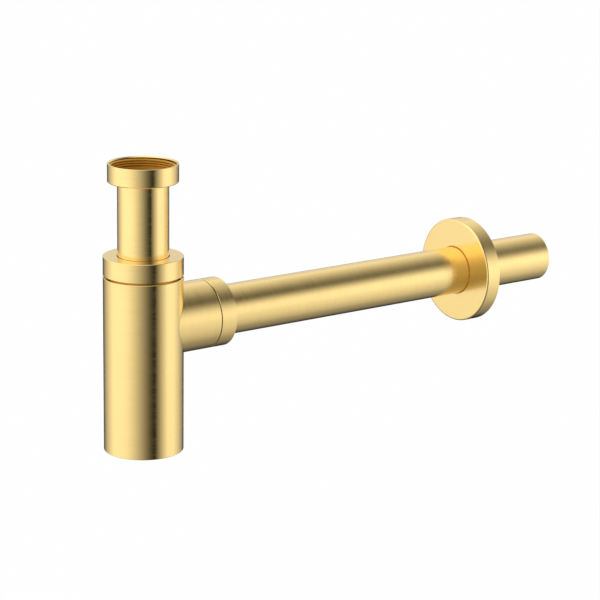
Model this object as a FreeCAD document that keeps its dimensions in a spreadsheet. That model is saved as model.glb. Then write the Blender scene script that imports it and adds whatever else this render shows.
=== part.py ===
import FreeCAD, Part
import os
import Sketcher

# Bottle trap: union nut, dip tube, bottle with side branch, outlet pipe and wall flange, in millimetres.
# The origin is on the bottle's axis in the plane where the basin waste seals on the inlet washer.
# Z points up along the bottle's axis and X along the outlet pipe towards the wall.

doc = FreeCAD.newDocument("bottle_trap")
sheet = doc.addObject("Spreadsheet::Sheet", "sizes")

SIZES = [
    # inlet tube, with the rim that hangs in the union nut
    ("tube_od", 32.0),
    ("tube_wall", 1.0),
    ("rim_od", 38.0),
    ("rim_thick", 1.0),
    ("tube_show", 46.5),
    ("water_seal", 50.0),
    # union nut and washer
    ("nut_od", 44.0),
    ("nut_height", 11.6),
    ("nut_lip", 1.4),
    ("thread_bore", 38.95),
    ("relief_od", 42.0),
    ("mouth_chamfer", 0.65),
    ("washer_od", 38.2),
    ("washer_id", 29.0),
    ("washer_thick", 1.4),
    # collar nut on the bottle
    ("collar_height", 11.8),
    ("collar_roof", 2.4),
    ("collar_bore", 46.2),
    ("collar_gap", 1.3),
    # bottle and its neck
    ("bottle_od", 50.0),
    ("bottle_wall", 2.0),
    ("bottle_height", 111.5),
    ("base_thick", 2.5),
    ("shoulder_thick", 2.3),
    ("neck_od", 44.4),
    ("neck_lip", 1.6),
    ("neck_bore", 34.0),
    ("neck_seat", 6.2),
    # side branch and its neck
    ("branch_od", 44.0),
    ("branch_drop", 30.5),
    ("branch_reach", 44.2),
    ("branch_neck_od", 39.0),
    ("branch_lip", 1.1),
    ("branch_seat", 5.0),
    ("stop_reach", 24.4),
    ("outlet_hole", 29.6),
    # outlet nut
    ("outlet_nut_od", 44.0),
    ("outlet_nut_length", 11.1),
    ("outlet_nut_roof", 2.2),
    ("outlet_nut_bore", 40.6),
    ("outlet_nut_gap", 0.6),
    # rings and seals under both nuts
    ("ring_thick", 1.0),
    ("collar_ring_od", 43.6),
    ("outlet_ring_od", 38.0),
    ("tube_seal_rise", 1.5),
    ("tube_seal_depth", 4.5),
    ("outlet_seal_rise", 1.3),
    ("outlet_seal_depth", 4.0),
    # outlet pipe
    ("pipe_od", 32.0),
    ("pipe_wall", 1.0),
    ("pipe_length", 300.0),
    ("pipe_play", 0.3),
    # wall flange and the ring that grips the pipe
    ("flange_od", 70.0),
    ("flange_depth", 10.6),
    ("flange_face", 5.2),
    ("flange_rim", 2.5),
    ("flange_round", 1.1),
    ("flange_reach", 251.8),
    ("flange_gap", 0.7),
    ("groove_width", 2.6),
    ("groove_depth", 1.7),
    ("ring_section", 2.3),
    # clearances and broken edges
    ("tube_gap", 0.3),
    ("nut_gap", 0.4),
    ("seal_gap", 0.05),
    ("braze_gap", 0.05),
    ("edge", 0.2),
]


class Size:
    """A length together with the sheet expression that it comes from."""

    def __init__(self, value, text):
        self.value = value
        self.text = text

    def __add__(self, other):
        return Size(self.value + other.value, f"({self.text} + {other.text})")

    def __sub__(self, other):
        return Size(self.value - other.value, f"({self.text} - {other.text})")

    def __mul__(self, factor):
        return Size(self.value * factor, f"({self.text} * {factor})")

    def __truediv__(self, divisor):
        return Size(self.value / divisor, f"({self.text} / {divisor})")

    def __neg__(self):
        return Size(-self.value, f"(0 - {self.text})")


def share(part, whole):
    """The plain ratio of two lengths."""
    return Size(part.value / whole.value, f"({part.text} / {whole.text})")


def scaled(length, ratio):
    """A length times a plain ratio."""
    return Size(length.value * ratio.value, f"({length.text} * {ratio.text})")


ZERO = Size(0.0, "0")
S = {}
for row, (alias, number) in enumerate(SIZES, start=1):
    sheet.set(f"A{row}", alias)
    sheet.set(f"B{row}", str(number))
    sheet.setAlias(f"B{row}", alias)
    S[alias] = Size(number, f"sizes.{alias}")
doc.recompute()


def origin_plane(body, role):
    return next(item for item in body.Origin.OriginFeatures if item.Role == role)


def pin_coordinate(sketch, kind, axis_id, line, size):
    """Hold one coordinate of a line's start point at a size, measured from the sketch's origin."""
    if size is ZERO:
        sketch.addConstraint(Sketcher.Constraint("PointOnObject", line, 1, axis_id))
        return
    index = sketch.addConstraint(Sketcher.Constraint(kind, -1, 1, line, 1, size.value))
    sketch.setExpression(f"Constraints[{index}]", size.text)


def draw_profile(body, name, points, axis_height=None):
    """A closed outline in the body's XZ plane, each corner held by sheet sizes.

    axis_height adds a level construction line at that height, for turning about X.
    """
    sketch = body.newObject("Sketcher::SketchObject", name)
    sketch.AttachmentSupport = [(origin_plane(body, "XZ_Plane"), "")]
    sketch.MapMode = "FlatFace"
    corners = [FreeCAD.Vector(x.value, y.value, 0) for x, y in points]
    count = len(corners)
    for i in range(count):
        sketch.addGeometry(Part.LineSegment(corners[i], corners[(i + 1) % count]), False)
    for i in range(count):
        sketch.addConstraint(Sketcher.Constraint("Coincident", i, 2, (i + 1) % count, 1))
    for i, (x, y) in enumerate(points):
        pin_coordinate(sketch, "DistanceX", -2, i, x)
        pin_coordinate(sketch, "DistanceY", -1, i, y)
    if axis_height is not None:
        start = FreeCAD.Vector(0, axis_height.value, 0)
        end = FreeCAD.Vector(10, axis_height.value, 0)
        line = sketch.addGeometry(Part.LineSegment(start, end), True)
        sketch.addConstraint(Sketcher.Constraint("PointOnObject", line, 1, -2))
        sketch.addConstraint(Sketcher.Constraint("Horizontal", line))
        sketch.addConstraint(Sketcher.Constraint("DistanceX", line, 1, line, 2, 10.0))
        pin_coordinate(sketch, "DistanceY", -1, line, axis_height)
    return sketch


def turn(body, kind, name, sketch, axis):
    """Turn an outline through a full circle, adding (Revolution) or removing (Groove) material."""
    feature = body.newObject(f"PartDesign::{kind}", name)
    feature.Profile = sketch
    feature.ReferenceAxis = (sketch, [axis])
    feature.Angle = 360.0
    sketch.Visibility = False
    body.Tip = feature
    doc.recompute()
    return feature


def place(item, height, reach=None):
    """Stand an object on the bottle's axis, or lay its axis along the branch at a reach."""
    if reach is None:
        item.Placement = FreeCAD.Placement(FreeCAD.Vector(0, 0, height.value), FreeCAD.Rotation())
    else:
        laid = FreeCAD.Rotation(FreeCAD.Vector(0, 1, 0), 90)
        item.Placement = FreeCAD.Placement(FreeCAD.Vector(reach.value, 0, height.value), laid)
        item.setExpression("Placement.Base.x", reach.text)
    item.setExpression("Placement.Base.z", height.text)


def new_body(label):
    body = doc.addObject("PartDesign::Body", label)
    body.Label = label
    return body


def turned_body(label, points, height, reach=None):
    """A body of revolution from (radius, distance along the axis) corners."""
    body = new_body(label)
    sketch = draw_profile(body, f"{label}_outline", points)
    turn(body, "Revolution", f"{label}_turned", sketch, "V_Axis")
    place(body, height, reach)
    return body


# levels along the bottle's axis
nut_foot = -(S["nut_lip"] + S["rim_thick"] + S["washer_thick"])
collar_top = nut_foot - S["tube_show"]
collar_foot = collar_top - S["collar_height"]
shoulder = collar_foot - S["collar_gap"]
bottle_foot = shoulder - S["bottle_height"]
branch_level = shoulder - S["branch_drop"]
collar_ring_foot = collar_top - S["collar_roof"] - S["ring_thick"]
neck_top = collar_ring_foot - S["tube_seal_rise"]
tube_top = -S["washer_thick"]
tube_foot = branch_level - S["outlet_hole"] / 2 - S["water_seal"]

# distances along the branch's axis
outlet_nut_start = S["branch_reach"] + S["outlet_nut_gap"]
outlet_nut_end = outlet_nut_start + S["outlet_nut_length"]
outlet_ring_start = outlet_nut_end - S["outlet_nut_roof"] - S["ring_thick"]
branch_end = outlet_ring_start - S["outlet_seal_rise"]
pipe_start = S["stop_reach"] + S["pipe_play"]

# radii used by more than one piece
tube_r = S["tube_od"] / 2
pipe_r = S["pipe_od"] / 2
tube_clear_r = tube_r + S["tube_gap"]
pipe_clear_r = pipe_r + S["tube_gap"]
tube_seal_bore_r = tube_r + S["seal_gap"]
pipe_seal_bore_r = pipe_r + S["seal_gap"]
neck_mouth_r = S["neck_od"] / 2 - S["neck_lip"]
neck_bore_r = S["neck_bore"] / 2
branch_mouth_r = S["branch_neck_od"] / 2 - S["branch_lip"]
bottle_r = S["bottle_od"] / 2
cavity_r = bottle_r - S["bottle_wall"]
edge = S["edge"]

# the branch's height above the bottle's foot, and the name of the level line that it is turned about
branch_height = S["bottle_height"] - S["branch_drop"]
LEVEL_AXIS = "Axis0"


def make_inlet_nut():
    """Round union nut: lip below, thread relief, thread bore and lead-in chamfer at the mouth."""
    outer = S["nut_od"] / 2
    bore = S["thread_bore"] / 2
    relief = S["relief_od"] / 2
    lip_top = S["nut_lip"]
    relief_top = lip_top + S["rim_thick"] + S["washer_thick"]
    mouth = S["nut_height"]
    points = [
        (tube_clear_r, ZERO),
        (outer - edge, ZERO),
        (outer, edge),
        (outer, mouth - edge),
        (outer - edge, mouth),
        (bore + S["mouth_chamfer"], mouth),
        (bore, mouth - S["mouth_chamfer"]),
        (bore, relief_top),
        (relief, relief_top),
        (relief, lip_top),
        (tube_clear_r, lip_top),
    ]
    turned_body("inlet_nut", points, nut_foot)


def make_inlet_washer():
    """Flat washer on the tube's rim."""
    points = [
        (S["washer_id"] / 2, ZERO),
        (S["washer_od"] / 2, ZERO),
        (S["washer_od"] / 2, S["washer_thick"]),
        (S["washer_id"] / 2, S["washer_thick"]),
    ]
    turned_body("inlet_washer", points, tube_top)


def make_inlet_tube():
    """Dip tube with a turned-out rim at its upper end."""
    bore = tube_r - S["tube_wall"]
    length = tube_top - tube_foot
    points = [
        (bore, ZERO),
        (tube_r - edge, ZERO),
        (tube_r, edge),
        (tube_r, length - S["rim_thick"]),
        (S["rim_od"] / 2, length - S["rim_thick"]),
        (S["rim_od"] / 2, length),
        (bore, length),
    ]
    turned_body("inlet_tube", points, tube_foot)


def cap_profile(outer, bore, inner_r, roof, length):
    """A round compression nut: open below, with a bored roof at its far end."""
    return [
        (bore + edge, ZERO),
        (outer - edge, ZERO),
        (outer, edge),
        (outer, length - edge),
        (outer - edge, length),
        (inner_r, length),
        (inner_r, length - roof),
        (bore, length - roof),
        (bore, edge),
    ]


def make_compression_nuts():
    collar = cap_profile(
        bottle_r,
        S["collar_bore"] / 2,
        tube_r + S["nut_gap"],
        S["collar_roof"],
        S["collar_height"],
    )
    turned_body("collar_nut", collar, collar_foot)
    outlet = cap_profile(
        S["outlet_nut_od"] / 2,
        S["outlet_nut_bore"] / 2,
        pipe_r + S["nut_gap"],
        S["outlet_nut_roof"],
        S["outlet_nut_length"],
    )
    turned_body("outlet_nut", outlet, branch_level, outlet_nut_start)


def make_slip_rings():
    """Thin friction rings between each nut's roof and its seal."""
    rings = [
        ("collar_slip_ring", tube_clear_r, S["collar_ring_od"] / 2, collar_ring_foot, None),
        ("outlet_slip_ring", pipe_clear_r, S["outlet_ring_od"] / 2, branch_level, outlet_ring_start),
    ]
    for label, inner, outer, height, reach in rings:
        points = [
            (inner, ZERO),
            (outer, ZERO),
            (outer, S["ring_thick"]),
            (inner, S["ring_thick"]),
        ]
        turned_body(label, points, height, reach)


def seal_profile(bore, mouth, small, seat_depth, rise, depth):
    """Tapered seal: a cone that lies in the seat, under a short round rim."""
    nose = mouth - scaled(mouth - small, share(depth, seat_depth))
    return [
        (bore, ZERO),
        (nose, ZERO),
        (mouth, depth),
        (mouth, depth + rise),
        (bore, depth + rise),
    ]


def make_seals():
    tube_seal = seal_profile(
        tube_seal_bore_r,
        neck_mouth_r,
        neck_bore_r,
        S["neck_seat"],
        S["tube_seal_rise"],
        S["tube_seal_depth"],
    )
    turned_body("tube_seal", tube_seal, neck_top - S["tube_seal_depth"])
    outlet_seal = seal_profile(
        pipe_seal_bore_r,
        branch_mouth_r,
        pipe_clear_r,
        S["branch_seat"],
        S["outlet_seal_rise"],
        S["outlet_seal_depth"],
    )
    turned_body("outlet_seal", outlet_seal, branch_level, branch_end - S["outlet_seal_depth"])


def make_bottle():
    """Round cup with a side hole: the neck is brazed into its mouth and the branch onto its side."""
    body = new_body("bottle")
    top = S["bottle_height"]
    cup = [
        (ZERO, ZERO),
        (bottle_r - edge, ZERO),
        (bottle_r, edge),
        (bottle_r, top - edge),
        (bottle_r - edge, top),
        (cavity_r, top),
        (cavity_r, S["base_thick"]),
        (ZERO, S["base_thick"]),
    ]
    sketch = draw_profile(body, "bottle_outline", cup)
    turn(body, "Revolution", "bottle_turned", sketch, "V_Axis")

    hole_r = S["outlet_hole"] / 2
    side_hole = [
        (ZERO, branch_height),
        (S["branch_reach"], branch_height),
        (S["branch_reach"], branch_height + pipe_clear_r),
        (S["stop_reach"], branch_height + pipe_clear_r),
        (S["stop_reach"], branch_height + hole_r),
        (ZERO, branch_height + hole_r),
    ]
    sketch = draw_profile(body, "side_hole_outline", side_hole, branch_height)
    turn(body, "Groove", "side_hole", sketch, LEVEL_AXIS)
    place(body, bottle_foot)


def make_bottle_neck():
    """Turned neck with the seat of the tube's seal, brazed into the bottle's mouth up to its shoulder."""
    spigot_r = cavity_r - S["braze_gap"]
    neck_r = S["neck_od"] / 2
    step = S["shoulder_thick"]
    height = step + (neck_top - shoulder)
    points = [
        (neck_bore_r, ZERO),
        (spigot_r, ZERO),
        (spigot_r, step),
        (neck_r, step),
        (neck_r, height - edge),
        (neck_r - edge, height),
        (neck_mouth_r, height),
        (neck_bore_r, height - S["neck_seat"]),
    ]
    turned_body("bottle_neck", points, shoulder - step)


def make_outlet_branch():
    """Turned branch with a neck of its own, its inner end cut to the bottle's round and brazed there."""
    body = new_body("outlet_branch")
    branch_r = S["branch_od"] / 2
    neck_r = S["branch_neck_od"] / 2
    reach = S["branch_reach"]
    sleeve = [
        (ZERO, branch_height + pipe_clear_r),
        (branch_end - S["branch_seat"], branch_height + pipe_clear_r),
        (branch_end, branch_height + branch_mouth_r),
        (branch_end, branch_height + neck_r - edge),
        (branch_end - edge, branch_height + neck_r),
        (reach, branch_height + neck_r),
        (reach, branch_height + branch_r - edge),
        (reach - edge, branch_height + branch_r),
        (ZERO, branch_height + branch_r),
    ]
    sketch = draw_profile(body, "branch_outline", sleeve, branch_height)
    turn(body, "Revolution", "branch_turned", sketch, LEVEL_AXIS)

    saddle_r = bottle_r + S["braze_gap"]
    saddle = [
        (ZERO, ZERO),
        (saddle_r, ZERO),
        (saddle_r, S["bottle_height"]),
        (ZERO, S["bottle_height"]),
    ]
    sketch = draw_profile(body, "saddle_outline", saddle)
    turn(body, "Groove", "saddle", sketch, "V_Axis")
    place(body, bottle_foot)


def make_outlet_pipe():
    bore = pipe_r - S["pipe_wall"]
    length = S["pipe_length"]
    points = [
        (bore, ZERO),
        (pipe_r - edge, ZERO),
        (pipe_r, edge),
        (pipe_r, length - edge),
        (pipe_r - edge, length),
        (bore, length),
    ]
    turned_body("outlet_pipe", points, branch_level, pipe_start)


def make_wall_flange():
    """Hollow-backed round cover with a grooved bore and a rounded front edge."""
    outer = S["flange_od"] / 2
    bore = pipe_r + S["flange_gap"]
    face = S["flange_face"]
    groove_start = (face - S["groove_width"]) / 2
    points = [
        (bore, ZERO),
        (outer, ZERO),
        (outer, S["flange_depth"]),
        (outer - S["flange_rim"], S["flange_depth"]),
        (outer - S["flange_rim"], face),
        (bore, face),
        (bore, groove_start + S["groove_width"]),
        (bore + S["groove_depth"], groove_start + S["groove_width"]),
        (bore + S["groove_depth"], groove_start),
        (bore, groove_start),
    ]
    body = new_body("wall_flange")
    sketch = draw_profile(body, "wall_flange_outline", points)
    cover = turn(body, "Revolution", "wall_flange_turned", sketch, "V_Axis")
    front = [
        f"Edge{i}"
        for i, rim in enumerate(cover.Shape.Edges, start=1)
        if abs(rim.BoundBox.ZMax) < 1e-6 and abs(rim.BoundBox.XMax - outer.value) < 1e-4
    ]
    rounded = body.newObject("PartDesign::Fillet", "front_edge")
    rounded.Base = (cover, front)
    rounded.Radius = S["flange_round"].value
    rounded.setExpression("Radius", S["flange_round"].text)
    body.Tip = rounded
    place(body, branch_level, S["flange_reach"])


def make_flange_ring():
    """Round rubber ring in the flange's groove, just clear of the pipe."""
    ring = doc.addObject("Part::Torus", "flange_ring")
    ring.Label = "flange_ring"
    section_r = S["ring_section"] / 2
    ring_r = pipe_seal_bore_r + section_r
    ring.Radius1 = ring_r.value
    ring.Radius2 = section_r.value
    ring.setExpression("Radius1", ring_r.text)
    ring.setExpression("Radius2", section_r.text)
    place(ring, branch_level, S["flange_reach"] + S["flange_face"] / 2)


make_inlet_nut()
make_inlet_washer()
make_inlet_tube()
make_compression_nuts()
make_slip_rings()
make_seals()
make_bottle()
make_bottle_neck()
make_outlet_branch()
make_outlet_pipe()
make_wall_flange()
make_flange_ring()
doc.recompute()

for item in doc.Objects:
    if "Invalid" in item.State or "Error" in item.State:
        raise RuntimeError(f"{item.Label} did not build: {item.State}")

pieces = [item for item in doc.Objects if item.TypeId in ("PartDesign::Body", "Part::Torus")]
os.makedirs("parts", exist_ok=True)
for piece in pieces:
    if piece.Shape.isNull() or not piece.Shape.isValid():
        raise RuntimeError(f"{piece.Label} has no valid shape")
    piece.Shape.exportStep(f"parts/{piece.Label}.step")
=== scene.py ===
import math

import bpy
from mathutils import Matrix, Vector


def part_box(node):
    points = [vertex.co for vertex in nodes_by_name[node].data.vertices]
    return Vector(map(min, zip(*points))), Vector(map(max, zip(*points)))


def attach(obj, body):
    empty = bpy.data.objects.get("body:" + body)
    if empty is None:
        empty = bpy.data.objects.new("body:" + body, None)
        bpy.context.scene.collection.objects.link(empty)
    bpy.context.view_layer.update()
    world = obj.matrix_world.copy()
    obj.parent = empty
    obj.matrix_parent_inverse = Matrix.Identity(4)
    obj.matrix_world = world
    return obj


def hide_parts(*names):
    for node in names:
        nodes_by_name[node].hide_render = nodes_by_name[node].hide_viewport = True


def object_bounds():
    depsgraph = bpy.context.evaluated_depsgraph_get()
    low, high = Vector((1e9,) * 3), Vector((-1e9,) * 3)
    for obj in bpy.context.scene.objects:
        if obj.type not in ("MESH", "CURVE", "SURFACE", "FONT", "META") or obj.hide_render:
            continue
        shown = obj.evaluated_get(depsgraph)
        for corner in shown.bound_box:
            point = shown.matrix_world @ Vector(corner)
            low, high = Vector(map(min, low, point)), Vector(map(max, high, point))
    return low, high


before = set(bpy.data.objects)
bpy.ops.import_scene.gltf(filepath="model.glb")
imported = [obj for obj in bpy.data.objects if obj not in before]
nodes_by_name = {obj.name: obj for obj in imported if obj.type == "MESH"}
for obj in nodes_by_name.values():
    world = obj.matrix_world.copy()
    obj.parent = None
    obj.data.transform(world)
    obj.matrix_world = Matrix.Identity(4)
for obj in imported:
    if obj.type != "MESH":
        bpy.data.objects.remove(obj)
cad_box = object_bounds()

MM = 0.001
PIPE_LOW, PIPE_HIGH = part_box("outlet_pipe")
PIPE_Z = (PIPE_LOW[2] + PIPE_HIGH[2]) / 2

# camera, fitted to the outlines in the photograph: its distances are in millimetres from the frame's origin
CAMERA_AZIMUTH = math.radians(-36.707)
CAMERA_ELEVATION = math.radians(14.784)
CAMERA_ROLL = math.radians(0.855)
CAMERA_TARGET = Vector((120.0, 0.0, -62.2))
CAMERA_DISTANCE = 1521.794
CAMERA_OFFSET = (0.274, -32.819)
CAMERA_LENS = 141.134
CAMERA_SENSOR = 36.0
CAMERA_CLIP = 0.01

# brass: the finish; the neck in the gap under the collar, darker as painted shade of the gap; bare thread,
# whose deeper orange is painted light bounced between the brass walls inside the nut; and the thread's root,
# dark as painted shade between the turns
BRASS = (0.950, 0.706, 0.290)
NECK_SHADE_BRASS = (0.640, 0.380, 0.100)
BOUNCE_LIT_BRASS = (0.950, 0.495, 0.055)
ROOT_SHADE_BRASS = (0.100, 0.045, 0.010)

# clouding of the brass: how large, how far it goes down and up, and the lightest value that it may reach
CLOUD_SCALE = 38.0
CLOUD_DARK = 0.985
CLOUD_LIGHT = 1.012
LIGHTEST = 0.96

# brushing: lines in a metre, how deep they are, and the roughness of plain and of brushed metal
FINE_LINES = 5200.0
COARSE_LINES = 850.0
COARSE_RANGE = (0.32, 0.68)
COARSE_HEIGHT = 0.6
LINE_DEPTH = 2.2e-6
PLAIN_ROUGHNESS = 0.200
BRUSHED_CUT = 0.095
FINE_ROUGHNESS = 0.06
COARSE_ROUGHNESS = 0.11
ACROSS_THE_LINES = 0.25
SMALLEST_RADIUS = 1e-6

# moulded rubber and plastic
MOULDED_CLOUD = 120.0
MOULDED_BUMP = 0.6
SPECK_ROUGHNESS = 0.16

# turned meshes and threads: the ends of a thread stop short of edges, and a relief lies at its foot
TURN_STEPS = 216
TURN_SHARP = 32.0
THREAD_PITCH = 1.5 * MM
THREAD_STEPS = 90
THREAD_SHARP = 25.0
THREAD_END = 0.3 * MM
THREAD_RELIEF = 1.3 * MM

# section of a thread: its foot is sunk by this share of its height, and its ends fade over a fifth of a turn
RIDGE_FOOT = -0.06
RIDGE_MARGIN = 0.04 * MM
RIDGE_FADES_IN_TURN = 5
RIDGE_HALF_WIDTHS = (0.41 * MM, 0.13 * MM)

# collar on the bottle's neck, and outlet nut on the branch
NECK_RADIUS = 22.2 * MM
NECK_THREAD = 0.7 * MM
COLLAR_BORE = 23.1 * MM
COLLAR_ROOF = 2.4 * MM
BRANCH_RADIUS = 19.5 * MM
BRANCH_THREAD = 0.6 * MM
BRANCH_SEAM = 0.6 * MM
OUTLET_NUT_BORE = 20.3 * MM
OUTLET_NUT_ROOF = 2.2 * MM

# union nut: its lip, its bore and its edges
NUT_LIP = 1.4 * MM
NUT_THREAD_DEPTH = 6.0 * MM
NUT_HELIX_DEPTH = 6.8 * MM
NUT_ROOT = 20.6 * MM
NUT_CREST = 19.6 * MM
NUT_RELIEF = 20.7 * MM
NUT_TUBE_HOLE = 16.3 * MM
NUT_EDGE = 0.1 * MM
NUT_FOOT_EDGE = 0.45 * MM
NUT_LEAD_IN = 0.65 * MM
NUT_RIDGE_HALF_WIDTHS = (0.60 * MM, 0.36 * MM)

# ring in the flange's hole, bare brass painted the orange of light bounced in the gap round the pipe: where
# it starts and ends behind the face, and its radii
REFLECTION_RING_SPAN = (0.3 * MM, 0.9 * MM)
REFLECTION_RING_RADII = (16.15 * MM, 16.72 * MM)

# studio: angles are in degrees, with bearings from the camera round to its right and heights up from level;
# each pair is where a fade starts and ends
LEFT_BOX_STRENGTH = 1.57
LEFT_BOX_LEFT = (-158.0, -92.0)
LEFT_BOX_RIGHT = (-63.0, 40.5)
LEFT_BOX_RISE = (-80.0, -12.0)
LEFT_BOX_FALL = (55.0, 85.0)
LEFT_BOX_LEAN = -0.2
LEFT_BOX_SHIFT = 3.0
RIGHT_BOX_STRENGTH = 1.66
RIGHT_BOX_LEFT = (37.5, 77.5)
RIGHT_BOX_RIGHT = (99.0, 165.0)
RIGHT_BOX_RISE = (-83.0, -4.0)
RIGHT_BOX_FALL = (4.0, 45.0)
GLOW_STRENGTH = 1.25
GLOW_HEIGHT = 30.0
GLOW_FOCUS = 3.0
GLOW_RISE = (-15.0, 13.0)
OVERHEAD_STRENGTH = 1.25
OVERHEAD_RISE = (58.0, 77.0)
BELOW_STRENGTH = 0.15
BELOW_HEIGHT = -65.0
BELOW_SPREAD = (36.0, 8.0)
FILL_STRENGTH = 0.02
BACKDROP_HEIGHT = 15.0
BACKDROP_SPREAD = (17.0, 5.0)

# floor: half its width, its drop below the trap, its paint, and the share that the camera sees as plain white
FLOOR_HALF = 8.0
FLOOR_DROP = 0.12
FLOOR_GREY = 0.95
FLOOR_WHITE = 0.965


def camera_axes():
    """Right, up and back of the camera, with its small roll."""
    ca, sa = math.cos(CAMERA_AZIMUTH), math.sin(CAMERA_AZIMUTH)
    ce, se = math.cos(CAMERA_ELEVATION), math.sin(CAMERA_ELEVATION)
    back = Vector((sa * ce, -ca * ce, se))
    level = Vector((ca, sa, 0.0))
    upright = back.cross(level)
    right = level * math.cos(CAMERA_ROLL) + upright * math.sin(CAMERA_ROLL)
    up = upright * math.cos(CAMERA_ROLL) - level * math.sin(CAMERA_ROLL)
    return right, up, back


def add_camera():
    right, up, back = camera_axes()
    place = CAMERA_TARGET + back * CAMERA_DISTANCE + right * CAMERA_OFFSET[0] + up * CAMERA_OFFSET[1]
    data = bpy.data.cameras.new("camera")
    data.sensor_width = CAMERA_SENSOR
    data.lens = CAMERA_LENS
    data.clip_start = CAMERA_CLIP
    camera = bpy.data.objects.new("camera", data)
    turn = Matrix((right, up, back)).transposed().to_4x4()
    camera.matrix_world = Matrix.Translation(place * MM) @ turn
    bpy.context.scene.collection.objects.link(camera)
    bpy.context.scene.camera = camera


class Graph:
    """A short way to add and join shader nodes."""

    def __init__(self, tree):
        self.tree = tree
        tree.nodes.clear()

    def node(self, kind, **settings):
        made = self.tree.nodes.new(kind)
        for key, value in settings.items():
            setattr(made, key, value)
        return made

    def join(self, source, target):
        self.tree.links.new(source, target)

    def feed(self, socket, value):
        """Join another node's output to the socket, or set the socket to a plain value."""
        if isinstance(value, bpy.types.NodeSocket):
            self.join(value, socket)
        else:
            socket.default_value = value

    def math(self, operation, a, b=0.0, c=0.0):
        made = self.node("ShaderNodeMath", operation=operation)
        for socket, value in zip(made.inputs, (a, b, c)):
            self.feed(socket, value)
        return made.outputs[0]

    def ramp(self, value, low, high, to_low=0.0, to_high=1.0, smooth_step=True):
        """A step from to_low at low to to_high at high, smooth or straight."""
        kind = "SMOOTHSTEP" if smooth_step else "LINEAR"
        made = self.node("ShaderNodeMapRange", interpolation_type=kind)
        for socket, number in zip(made.inputs, (value, low, high, to_low, to_high)):
            self.feed(socket, number)
        return made.outputs[0]

    def combine(self, x, y, z):
        made = self.node("ShaderNodeCombineXYZ")
        for socket, value in zip(made.inputs, (x, y, z)):
            self.feed(socket, value)
        return made.outputs[0]

    def choose(self, factor, a, b):
        """a where the factor is 0 and b where it is 1."""
        made = self.node("ShaderNodeMix", data_type="FLOAT")
        self.feed(made.inputs[0], factor)
        self.feed(made.inputs[2], a)
        self.feed(made.inputs[3], b)
        return made.outputs[0]

    def tint(self, factor, a, b):
        """A colour between a and b."""
        made = self.node("ShaderNodeMix", data_type="RGBA")
        self.feed(made.inputs[0], factor)
        made.inputs[6].default_value = (*a, 1.0)
        made.inputs[7].default_value = (*b, 1.0)
        return made.outputs[2]

    def noise(self, place, scale, detail=2.0, roughness=0.5):
        made = self.node("ShaderNodeTexNoise", noise_dimensions="3D")
        self.feed(made.inputs["Vector"], place)
        made.inputs["Scale"].default_value = scale
        made.inputs["Detail"].default_value = detail
        made.inputs["Roughness"].default_value = roughness
        return made.outputs[0]

    def bump(self, height, strength, distance):
        made = self.node("ShaderNodeBump")
        made.inputs["Strength"].default_value = strength
        made.inputs["Distance"].default_value = distance
        self.join(height, made.inputs["Height"])
        return made.outputs[0]


def new_graph(name):
    material = bpy.data.materials.new(name)
    material.use_nodes = True
    return material, Graph(material.node_tree)


def shade(graph, shader):
    output = graph.node("ShaderNodeOutputMaterial")
    graph.join(shader.outputs[0], output.inputs["Surface"])


def turned_coordinates(graph, lay):
    """Distance along and out from the axis that a piece was turned about, and the direction around it.

    lay is "upright" for the bottle's axis or "level" for the pipe's axis.
    """
    where = graph.node("ShaderNodeTexCoord").outputs["Object"]
    split = graph.node("ShaderNodeSeparateXYZ")
    graph.join(where, split.inputs[0])
    x, y, z = split.outputs
    if lay == "upright":
        along, first, second = z, x, y
    else:
        along, first, second = x, y, graph.math("SUBTRACT", z, PIPE_Z)
    square = graph.math("ADD", graph.math("MULTIPLY", first, first), graph.math("MULTIPLY", second, second))
    radius = graph.math("MAXIMUM", graph.math("SQRT", square), SMALLEST_RADIUS)
    cosine = graph.math("DIVIDE", first, radius)
    sine = graph.math("DIVIDE", second, radius)
    minus_sine = graph.math("MULTIPLY", sine, -1.0)
    if lay == "upright":
        around = graph.combine(minus_sine, cosine, 0.0)
    else:
        around = graph.combine(0.0, minus_sine, cosine)
    to_world = graph.node("ShaderNodeVectorTransform", vector_type="VECTOR")
    to_world.convert_from = "OBJECT"
    to_world.convert_to = "WORLD"
    graph.join(around, to_world.inputs[0])
    line = graph.math("ADD", along, radius)
    return line, cosine, sine, to_world.outputs[0], where


def brushed_brass(name, lay, streak=1.0, anisotropy=0.55, colour=BRASS, metallic=1.0, roughness=0.0):
    """Gold-coloured brass with fine turned brushing round the piece's axis."""
    material, graph = new_graph(name)
    line, cosine, sine, around, where = turned_coordinates(graph, lay)
    streaks = graph.combine(graph.math("MULTIPLY", line, FINE_LINES), cosine, sine)
    fine = graph.noise(streaks, 1.0, detail=3.0, roughness=0.6)
    bands = graph.combine(graph.math("MULTIPLY", line, COARSE_LINES), cosine, sine)
    coarse = graph.ramp(graph.noise(bands, 1.0, detail=2.0), *COARSE_RANGE)
    cloud = graph.noise(where, CLOUD_SCALE, detail=3.0)

    shader = graph.node("ShaderNodeBsdfPrincipled")
    dark = tuple(c * CLOUD_DARK for c in colour)
    light = tuple(min(c * CLOUD_LIGHT, LIGHTEST) for c in colour)
    graph.join(graph.tint(cloud, dark, light), shader.inputs["Base Color"])
    shader.inputs["Metallic"].default_value = metallic
    plain = PLAIN_ROUGHNESS - BRUSHED_CUT * streak + roughness
    rough = graph.math("MULTIPLY_ADD", fine, FINE_ROUGHNESS * streak, plain)
    rough = graph.math("MULTIPLY_ADD", coarse, COARSE_ROUGHNESS * streak, rough)
    graph.join(rough, shader.inputs["Roughness"])
    shader.inputs["Anisotropic"].default_value = anisotropy
    shader.inputs["Anisotropic Rotation"].default_value = ACROSS_THE_LINES
    graph.join(around, shader.inputs["Tangent"])

    height = graph.math("MULTIPLY_ADD", coarse, COARSE_HEIGHT, fine)
    graph.join(graph.bump(height, 1.0, LINE_DEPTH * streak), shader.inputs["Normal"])
    shade(graph, shader)
    return material


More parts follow.
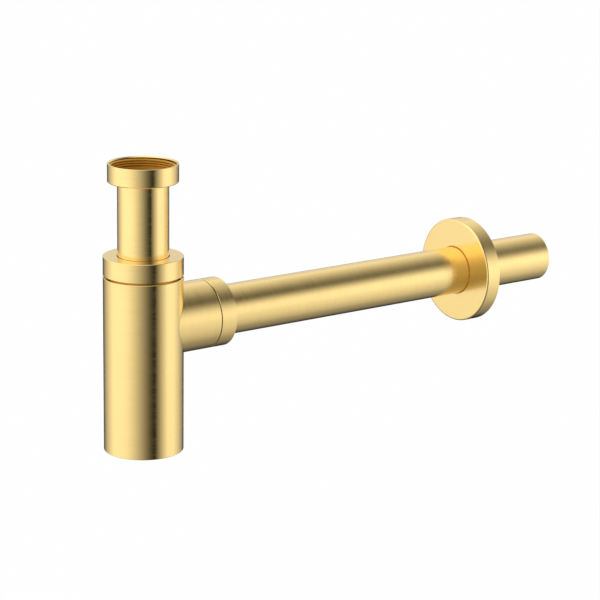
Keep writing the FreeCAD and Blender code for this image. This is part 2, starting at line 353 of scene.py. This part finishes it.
def bare_brass(name, lay, colour, metallic, roughness):
    """Brass as it was cut, with hardly any brushing."""
    return brushed_brass(
        name, lay, streak=0.15, anisotropy=0.0, colour=colour, metallic=metallic, roughness=roughness
    )


def moulded(name, dark, light, roughness, grain, depth, specular):
    """Moulded rubber or plastic with a fine grain."""
    material, graph = new_graph(name)
    where = graph.node("ShaderNodeTexCoord").outputs["Object"]
    cloud = graph.noise(where, MOULDED_CLOUD, detail=4.0)
    speck = graph.noise(where, grain, detail=2.0)
    shader = graph.node("ShaderNodeBsdfPrincipled")
    graph.join(graph.tint(cloud, dark, light), shader.inputs["Base Color"])
    rough = graph.math("MULTIPLY_ADD", speck, SPECK_ROUGHNESS, roughness - SPECK_ROUGHNESS / 2)
    graph.join(rough, shader.inputs["Roughness"])
    shader.inputs["Specular IOR Level"].default_value = specular
    graph.join(graph.bump(speck, MOULDED_BUMP, depth), shader.inputs["Normal"])
    shade(graph, shader)
    return material


def dress(piece, material):
    piece.data.materials.clear()
    piece.data.materials.append(material)


def add_mesh(name, points, faces, material, body, sharp_degrees=TURN_SHARP):
    """A new smooth-shaded piece that moves with a body."""
    mesh = bpy.data.meshes.new(name)
    mesh.from_pydata(points, [], faces)
    mesh.validate()
    mesh.update()
    mesh.polygons.foreach_set("use_smooth", [True] * len(mesh.polygons))
    mesh.set_sharp_from_angle(angle=math.radians(sharp_degrees))
    piece = bpy.data.objects.new(name, mesh)
    bpy.context.scene.collection.objects.link(piece)
    dress(piece, material)
    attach(piece, body)
    return piece


def smooth(t):
    t = min(max(t, 0.0), 1.0)
    return t * t * (3 - 2 * t)


def set_on_axis(a, b, along, lay):
    """A point across and along the bottle's axis or the pipe's axis."""
    return (a, b, along) if lay == "upright" else (along, a, b + PIPE_Z)


def turned(profile, lay):
    """Points and faces of a closed profile of (radius, distance along) turned about an axis."""
    points, faces = [], []
    for r, along in profile:
        for i in range(TURN_STEPS):
            angle = 2 * math.pi * i / TURN_STEPS
            points.append(set_on_axis(r * math.cos(angle), r * math.sin(angle), along, lay))
    for k in range(len(profile)):
        this, following = k * TURN_STEPS, (k + 1) % len(profile) * TURN_STEPS
        for i in range(TURN_STEPS):
            j = (i + 1) % TURN_STEPS
            faces.append((this + i, this + j, following + j, following + i))
    return points, faces


def thread_ridge(
    name, lay, body, material, radius, height, start, end, offset, half_widths=RIDGE_HALF_WIDTHS
):
    """A helical thread ridge on a neck (height above 0) or in a bore (below 0).

    start, end and offset are along the axis: the ridge runs between the first two and lies on the helix
    through offset. half_widths are those of its base and of its crest.
    """
    base, crest = half_widths
    section = [(-base, RIDGE_FOOT), (-crest, 1.0), (crest, 1.0), (base, RIDGE_FOOT)]
    margin = base + RIDGE_MARGIN
    first = math.ceil((start + margin - offset) / THREAD_PITCH * THREAD_STEPS)
    last = math.floor((end - margin - offset) / THREAD_PITCH * THREAD_STEPS)
    fade = THREAD_STEPS / RIDGE_FADES_IN_TURN
    points, faces = [], []
    for step in range(first, last + 1):
        angle = 2 * math.pi * step / THREAD_STEPS
        middle = offset + THREAD_PITCH * step / THREAD_STEPS
        rise = min(smooth((step - first) / fade), smooth((last - step) / fade))
        for sideways, share in section:
            lift = share if share < 0 else share * rise
            r = radius + height * lift
            points.append(set_on_axis(r * math.cos(angle), r * math.sin(angle), middle + sideways, lay))
    size = len(section)
    for k in range(last - first):
        for i in range(size):
            j = (i + 1) % size
            faces.append((k * size + i, k * size + j, (k + 1) * size + j, (k + 1) * size + i))
    faces.append(tuple(range(size)))
    faces.append(tuple(reversed(range(len(points) - size, len(points)))))
    add_mesh(name, points, faces, material, body, sharp_degrees=THREAD_SHARP)


def threaded_nut(material, thread_material, root_shade_material, relief_material):
    """The union nut in the place and size of its solid, with its thread standing in the bore."""
    low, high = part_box("inlet_nut")
    foot, mouth, outer = low[2], high[2], high[0]
    lip_top = foot + NUT_LIP
    relief_top = mouth - NUT_THREAD_DEPTH
    inside = [
        (NUT_ROOT + NUT_LEAD_IN, mouth),
        (NUT_ROOT, mouth - NUT_LEAD_IN),
        (NUT_ROOT, relief_top),
        (NUT_RELIEF, relief_top),
        (NUT_RELIEF, lip_top),
        (NUT_TUBE_HOLE, lip_top),
    ]
    outside = [
        (NUT_TUBE_HOLE, foot),
        (outer - NUT_FOOT_EDGE, foot),
        (outer, foot + NUT_FOOT_EDGE),
        (outer, mouth - NUT_EDGE),
        (outer - NUT_EDGE, mouth),
    ]
    points, faces = turned(inside + outside, "upright")
    piece = add_mesh("inlet_nut_turned", points, faces, material, "inlet_nut")
    for bare in (root_shade_material, relief_material):
        piece.data.materials.append(bare)
    # the lead-in is finished as the outside is, then come the thread's root, painted dark as the shade
    # between the thread's turns, and the bare relief below it, whose orange is painted light bounced inside
    # the nut
    rings = [0, 1] + [2] * (len(inside) - 3) + [0] * (len(outside) + 1)
    piece.data.polygons.foreach_set("material_index", [rings[i // TURN_STEPS] for i in range(len(faces))])
    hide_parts("inlet_nut")
    thread_ridge(
        "inlet_nut_thread",
        "upright",
        "inlet_nut",
        thread_material,
        radius=NUT_ROOT,
        height=NUT_CREST - NUT_ROOT,
        start=relief_top - THREAD_END,
        end=mouth - THREAD_END,
        offset=mouth - NUT_HELIX_DEPTH,
        half_widths=NUT_RIDGE_HALF_WIDTHS,
    )


def add_threads(neck, upright, level):
    """Threads of the collar on the bottle's neck and of the outlet nut on the branch, each pair in mesh."""
    collar_low, collar_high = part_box("collar_nut")
    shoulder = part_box("bottle")[1][2]
    neck_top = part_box("bottle_neck")[1][2]
    # the neck's thread takes the neck's darker brass, painted shade of the gap under the collar
    thread_ridge(
        "neck_thread",
        "upright",
        "bottle",
        neck,
        radius=NECK_RADIUS,
        height=NECK_THREAD,
        start=shoulder + THREAD_RELIEF,
        end=neck_top - THREAD_END,
        offset=shoulder,
    )
    thread_ridge(
        "collar_thread",
        "upright",
        "collar_nut",
        upright,
        radius=COLLAR_BORE,
        height=-NECK_THREAD,
        start=collar_low[2] + THREAD_END,
        end=collar_high[2] - COLLAR_ROOF,
        offset=shoulder + THREAD_PITCH / 2,
    )
    nut_low, nut_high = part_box("outlet_nut")
    branch_step = nut_low[0] - BRANCH_SEAM
    branch_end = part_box("outlet_branch")[1][0]
    thread_ridge(
        "branch_thread",
        "level",
        "bottle",
        level,
        radius=BRANCH_RADIUS,
        height=BRANCH_THREAD,
        start=branch_step + THREAD_RELIEF,
        end=branch_end - THREAD_END,
        offset=branch_step,
    )
    thread_ridge(
        "outlet_nut_thread",
        "level",
        "outlet_nut",
        level,
        radius=OUTLET_NUT_BORE,
        height=-BRANCH_THREAD,
        start=nut_low[0] + THREAD_END,
        end=nut_high[0] - OUTLET_NUT_ROOF,
        offset=branch_step + THREAD_PITCH / 2,
    )


def add_flange_reflection_ring(material):
    """Ring in the flange's hole, just behind its face and clear of the pipe: bare brass whose orange is a
    painted reflection of light bounced in the gap round the pipe.
    """
    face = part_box("wall_flange")[0][0]
    front, back = face + REFLECTION_RING_SPAN[0], face + REFLECTION_RING_SPAN[1]
    inner, outer = REFLECTION_RING_RADII
    points, faces = turned([(inner, front), (outer, front), (outer, back), (inner, back)], "level")
    add_mesh("flange_reflection_ring", points, faces, material, "wall_flange")


def light_studio():
    """A large soft box to the left and to the right of the camera, with a glow behind, overhead and below."""
    world = bpy.data.worlds.new("studio")
    bpy.context.scene.world = world
    world.use_nodes = True
    graph = Graph(world.node_tree)
    way = graph.node("ShaderNodeTexCoord").outputs["Generated"]

    def toward(direction):
        dot = graph.node("ShaderNodeVectorMath", operation="DOT_PRODUCT")
        graph.join(way, dot.inputs[0])
        dot.inputs[1].default_value = direction
        return dot.outputs["Value"]

    ca, sa = math.cos(CAMERA_AZIMUTH), math.sin(CAMERA_AZIMUTH)
    bearing = graph.math("ARCTAN2", toward((ca, sa, 0.0)), toward((sa, -ca, 0.0)))
    bearing = graph.math("DEGREES", bearing)
    height = graph.math("DEGREES", graph.math("ARCSINE", toward((0.0, 0.0, 1.0))))

    def behind(lift):
        """How near a direction is to the one behind the trap, at a height in degrees."""
        lift = math.radians(lift)
        return toward((-sa * math.cos(lift), ca * math.cos(lift), math.sin(lift)))

    def disc(lift, spread, strength):
        """A round patch behind the trap, dark at the first angle from its middle and full at the second."""
        edge, full = (math.cos(math.radians(angle)) for angle in spread)
        return graph.ramp(behind(lift), edge, full, 0.0, strength)

    def soft_box(strength, left, right_side, rise, fall):
        """A lit patch with its left side and its fade towards the floor straight, and its top smooth."""
        lit = graph.ramp(height, *rise, 0.0, strength, smooth_step=False)
        left_side = graph.ramp(bearing, *left, smooth_step=False)
        top = graph.ramp(height, *fall, 1.0, 0.0)
        for part in (left_side, right_side, top):
            lit = graph.math("MULTIPLY", lit, part)
        return lit

    # the left box's right side leans with the height and is smooth, and the right box's is straight
    shifted = graph.math("SUBTRACT", bearing, LEFT_BOX_SHIFT)
    leaning = graph.math("MULTIPLY_ADD", height, LEFT_BOX_LEAN, shifted)
    left_box_right = graph.ramp(leaning, *LEFT_BOX_RIGHT, 1.0, 0.0)
    left = soft_box(LEFT_BOX_STRENGTH, LEFT_BOX_LEFT, left_box_right, LEFT_BOX_RISE, LEFT_BOX_FALL)
    right_box_right = graph.ramp(bearing, *RIGHT_BOX_RIGHT, 1.0, 0.0, smooth_step=False)
    right = soft_box(RIGHT_BOX_STRENGTH, RIGHT_BOX_LEFT, right_box_right, RIGHT_BOX_RISE, RIGHT_BOX_FALL)
    apart = graph.math("SUBTRACT", behind(GLOW_HEIGHT), 1.0)
    glow = graph.math("EXPONENT", graph.math("MULTIPLY", apart, GLOW_FOCUS))
    glow = graph.math("MULTIPLY", glow, graph.ramp(height, *GLOW_RISE, 0.0, GLOW_STRENGTH))
    overhead = graph.ramp(height, *OVERHEAD_RISE, 0.0, OVERHEAD_STRENGTH)
    below = disc(BELOW_HEIGHT, BELOW_SPREAD, BELOW_STRENGTH)
    level = graph.math("ADD", graph.math("ADD", left, right), graph.math("ADD", glow, FILL_STRENGTH))
    level = graph.math("ADD", level, graph.math("ADD", overhead, below))

    # the white background, which the metal shows too where it is behind the trap
    path = graph.node("ShaderNodeLightPath")
    backdrop = disc(BACKDROP_HEIGHT, BACKDROP_SPREAD, 1.0)
    mirrored = graph.math("MULTIPLY", path.outputs["Is Glossy Ray"], backdrop)
    seen = graph.math("MAXIMUM", path.outputs["Is Camera Ray"], path.outputs["Is Transmission Ray"])
    level = graph.choose(graph.math("MAXIMUM", seen, mirrored), level, 1.0)
    background = graph.node("ShaderNodeBackground")
    graph.join(level, background.inputs["Strength"])
    output = graph.node("ShaderNodeOutputWorld")
    graph.join(background.outputs[0], output.inputs["Surface"])


def add_floor():
    """A plain white floor below the hanging trap, which keeps a faint shadow."""
    level = cad_box[0][2] - FLOOR_DROP
    corners = [(x * FLOOR_HALF, y * FLOOR_HALF, level) for x, y in ((-1, -1), (1, -1), (1, 1), (-1, 1))]
    mesh = bpy.data.meshes.new("floor")
    mesh.from_pydata(corners, [], [(0, 1, 2, 3)])
    floor = bpy.data.objects.new("floor", mesh)
    bpy.context.scene.collection.objects.link(floor)
    floor.visible_glossy = False

    material, graph = new_graph("floor_paint")
    paint = graph.node("ShaderNodeBsdfDiffuse")
    paint.inputs["Color"].default_value = (FLOOR_GREY, FLOOR_GREY, FLOOR_GREY, 1.0)
    white = graph.node("ShaderNodeEmission")
    seen = graph.node("ShaderNodeLightPath").outputs["Is Camera Ray"]
    mix = graph.node("ShaderNodeMixShader")
    graph.join(graph.math("MULTIPLY", seen, FLOOR_WHITE), mix.inputs[0])
    graph.join(paint.outputs[0], mix.inputs[1])
    graph.join(white.outputs[0], mix.inputs[2])
    shade(graph, mix)
    dress(floor, material)


def dress_nodes():
    """Give each CAD node its material, and add the threads, the union nut and the ring in the flange's hole
    that paints the gap's bounced orange light.
    """
    upright = brushed_brass("brass_upright", "upright")
    level = brushed_brass("brass_level", "level", streak=0.7)
    # the neck is darker brass: painted shade of the gap under the collar, on the neck and its thread
    neck = brushed_brass("brass_neck_painted_shade", "upright", streak=0.4, anisotropy=0.3, colour=NECK_SHADE_BRASS)
    rubber = moulded(
        "seal_rubber",
        dark=(0.012, 0.012, 0.013),
        light=(0.028, 0.028, 0.030),
        roughness=0.62,
        grain=2600.0,
        depth=12e-6,
        specular=0.35,
    )
    tan = moulded(
        "washer_rubber",
        dark=(0.23, 0.12, 0.045),
        light=(0.33, 0.19, 0.075),
        roughness=0.66,
        grain=2200.0,
        depth=14e-6,
        specular=0.30,
    )
    plastic = moulded(
        "slip_ring_plastic",
        dark=(0.70, 0.69, 0.64),
        light=(0.80, 0.79, 0.74),
        roughness=0.42,
        grain=1800.0,
        depth=8e-6,
        specular=0.5,
    )
    looks = {
        "inlet_nut": upright,
        "inlet_tube": upright,
        "collar_nut": upright,
        "bottle": upright,
        "bottle_neck": neck,
        "outlet_branch": level,
        "outlet_nut": level,
        "outlet_pipe": level,
        "wall_flange": level,
        "tube_seal": rubber,
        "outlet_seal": rubber,
        "flange_ring": rubber,
        "inlet_washer": tan,
        "collar_slip_ring": plastic,
        "outlet_slip_ring": plastic,
    }
    for name, material in looks.items():
        dress(nodes_by_name[name], material)
    cut_upright = brushed_brass("brass_cut_upright", "upright", streak=0.15, anisotropy=0.2)
    cut_level = brushed_brass("brass_cut_level", "level", streak=0.15, anisotropy=0.2)
    # the thread and the relief below it are a deeper orange and mostly matt: painted light bounced between
    # the brass walls inside the nut, on brass that is left bare of brushing
    bare = bare_brass("brass_bare_painted_bounce", "upright", BOUNCE_LIT_BRASS, metallic=0.2, roughness=0.2)
    relief = bare_brass("brass_relief_painted_bounce", "upright", BOUNCE_LIT_BRASS, metallic=0.0, roughness=0.3)
    # the thread's root is near black: painted shade in the valleys between the turns
    root = bare_brass("brass_root_painted_shade", "upright", ROOT_SHADE_BRASS, metallic=0.4, roughness=0.3)
    # the flange's ring: painted reflection of orange light bounced in the gap round the pipe
    lip = bare_brass("brass_lip_painted_reflection", "level", BOUNCE_LIT_BRASS, metallic=0.3, roughness=0.2)
    threaded_nut(upright, bare, root, relief)
    add_flange_reflection_ring(lip)
    add_threads(neck, cut_upright, cut_level)


dress_nodes()
light_studio()
add_floor()
add_camera()
bpy.context.scene.view_settings.view_transform = "Standard"
